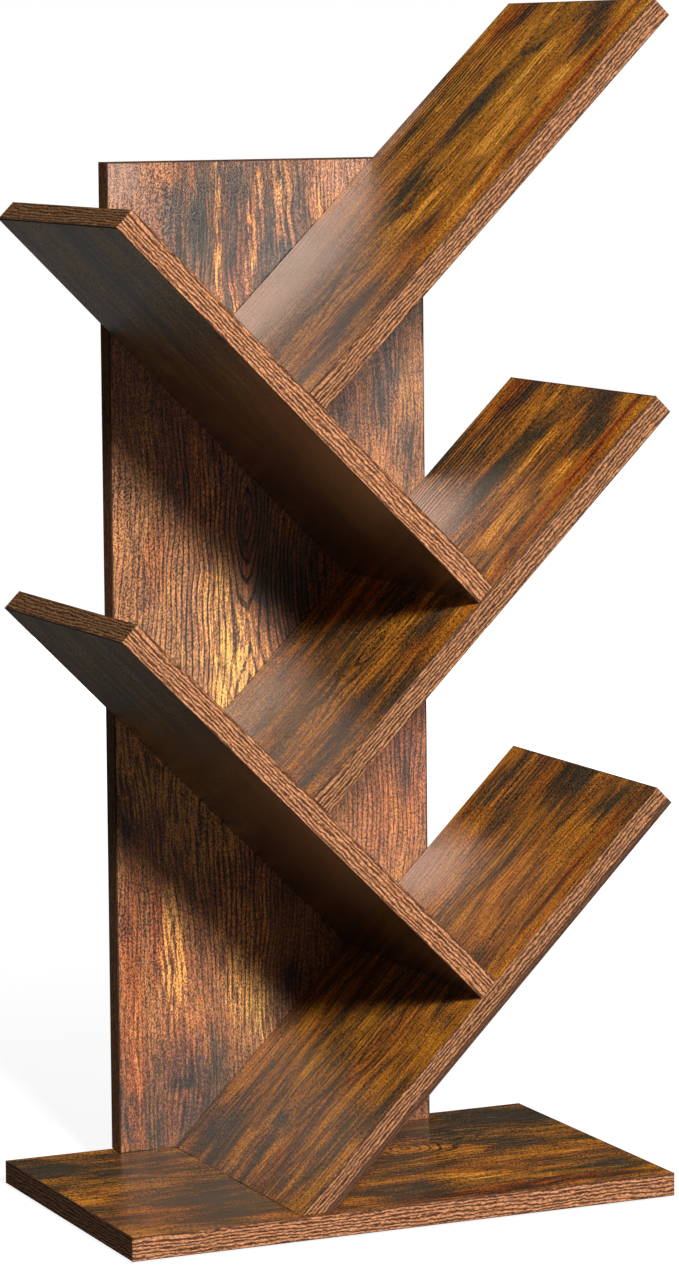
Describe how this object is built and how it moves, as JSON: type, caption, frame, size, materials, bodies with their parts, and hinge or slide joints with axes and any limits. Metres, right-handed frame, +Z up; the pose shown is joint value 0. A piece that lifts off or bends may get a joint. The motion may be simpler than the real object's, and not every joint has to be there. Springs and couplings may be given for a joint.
{
  "type": "tree shaped bookshelf",
  "caption": "Free-standing tree shaped bookshelf: slanted shelves zigzag up a flat trunk panel on a base board, so that books stand in the V-shaped spaces.",
  "frame": {"origin": "on the floor, at the centre of the bookshelf's footprint", "axes": "+X to the right seen from the front, -Y to the front, +Z up"},
  "size_m": [0.3766, 0.225, 0.7704],
  "materials": {
    "laminate": "rustic brown wood-grain melamine, satin",
    "edge_band": "copper-brown printed edge band, short dark dashes, matt",
    "dowel_wood": "raw beech",
    "screw_steel": "zinc plated",
    "pad_foam": "black foam rubber"
  },
  "bodies": {
    "root": {"base_board": "laminate", "base_front_band": "edge_band", "base_back_band": "edge_band", "base_left_band": "edge_band", "base_right_band": "edge_band", "trunk_panel": "laminate", "trunk_left_band": "edge_band", "trunk_right_band": "edge_band", "trunk_top_band": "edge_band", "shelf_1": "laminate", "shelf_1_front_band": "edge_band", "shelf_1_back_band": "edge_band", "shelf_1_end_band": "edge_band", "shelf_2": "laminate", "shelf_2_front_band": "edge_band", "shelf_2_back_band": "edge_band", "shelf_2_end_band": "edge_band", "shelf_3": "laminate", "shelf_3_front_band": "edge_band", "shelf_3_back_band": "edge_band", "shelf_3_end_band": "edge_band", "shelf_4": "laminate", "shelf_4_front_band": "edge_band", "shelf_4_back_band": "edge_band", "shelf_4_end_band": "edge_band", "shelf_5": "laminate", "shelf_5_front_band": "edge_band", "shelf_5_back_band": "edge_band", "shelf_5_end_band": "edge_band", "joint_1_dowel_1": "dowel_wood", "joint_1_dowel_2": "dowel_wood", "joint_2_dowel_1": "dowel_wood", "joint_2_dowel_2": "dowel_wood", "joint_3_dowel_1": "dowel_wood", "joint_3_dowel_2": "dowel_wood", "joint_4_dowel_1": "dowel_wood", "joint_4_dowel_2": "dowel_wood", "shelf_1_screw_1": "screw_steel", "shelf_1_screw_2": "screw_steel", "shelf_2_screw_1": "screw_steel", "shelf_2_screw_2": "screw_steel", "shelf_3_screw_1": "screw_steel", "shelf_3_screw_2": "screw_steel", "shelf_4_screw_1": "screw_steel", "shelf_4_screw_2": "screw_steel", "shelf_5_screw_1": "screw_steel", "shelf_5_screw_2": "screw_steel", "base_screw_1": "screw_steel", "base_screw_2": "screw_steel", "foot_pad_front_left": "pad_foam", "foot_pad_front_right": "pad_foam", "foot_pad_back_left": "pad_foam", "foot_pad_back_right": "pad_foam"}
  },
  "joints": []
}
